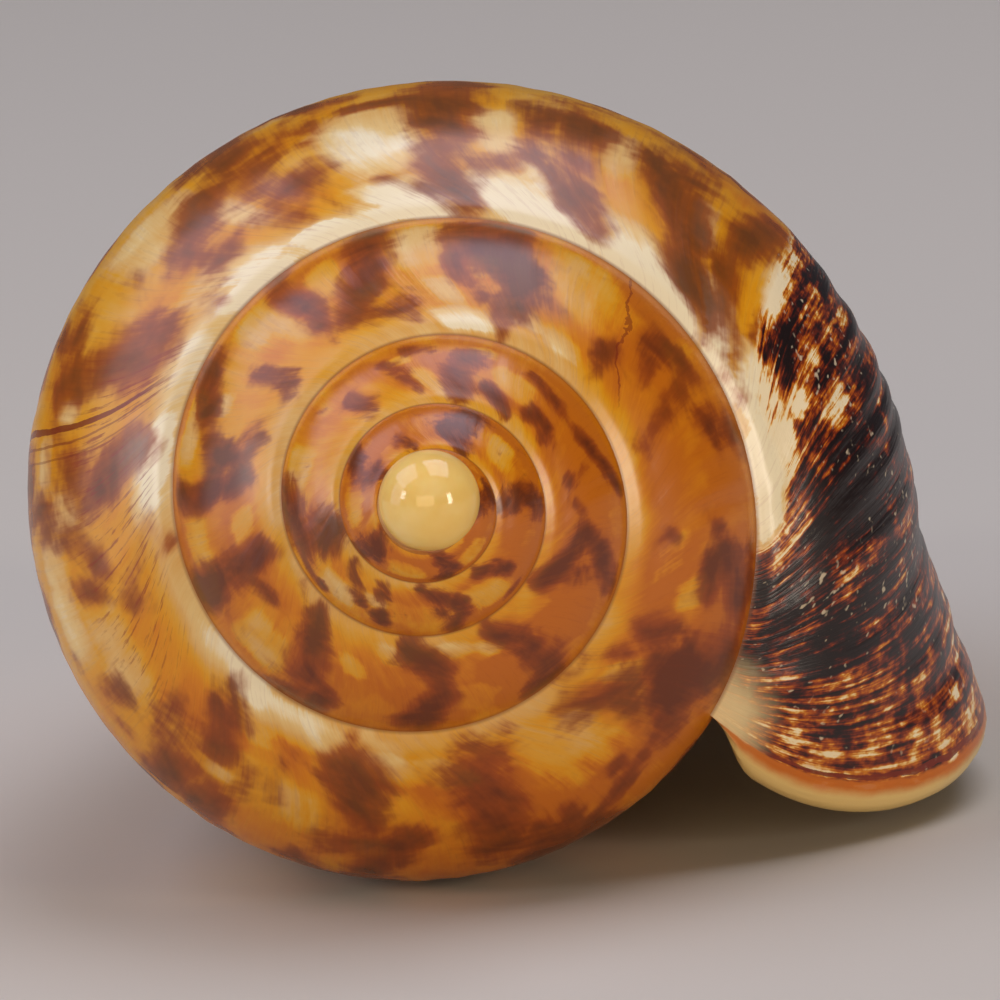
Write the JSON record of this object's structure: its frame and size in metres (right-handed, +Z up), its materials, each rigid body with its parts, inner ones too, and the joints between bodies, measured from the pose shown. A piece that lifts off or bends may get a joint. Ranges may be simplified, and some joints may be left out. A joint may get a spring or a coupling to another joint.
{
  "type": "volute shell",
  "caption": "Smooth oval sea snail shell lying on its opening, with a low spire, a bead-like tip, a thick flared lip, a folded columella and a notched front end.",
  "frame": {"origin": "centre of the bounding box in X and Y, at the level that the shell rests on", "axes": "+Z up; the shell lies on its opening with its apex towards -Y and its front end towards +Y; +X towards the outer lip"},
  "size_m": [0.0632, 0.1048, 0.0517],
  "materials": {
    "shell": "glossy shell: amber and orange with red-brown flames, cream band under the suture, dark rough last part, cream lip"
  },
  "bodies": {
    "root": {"shell": "shell"}
  },
  "joints": []
}
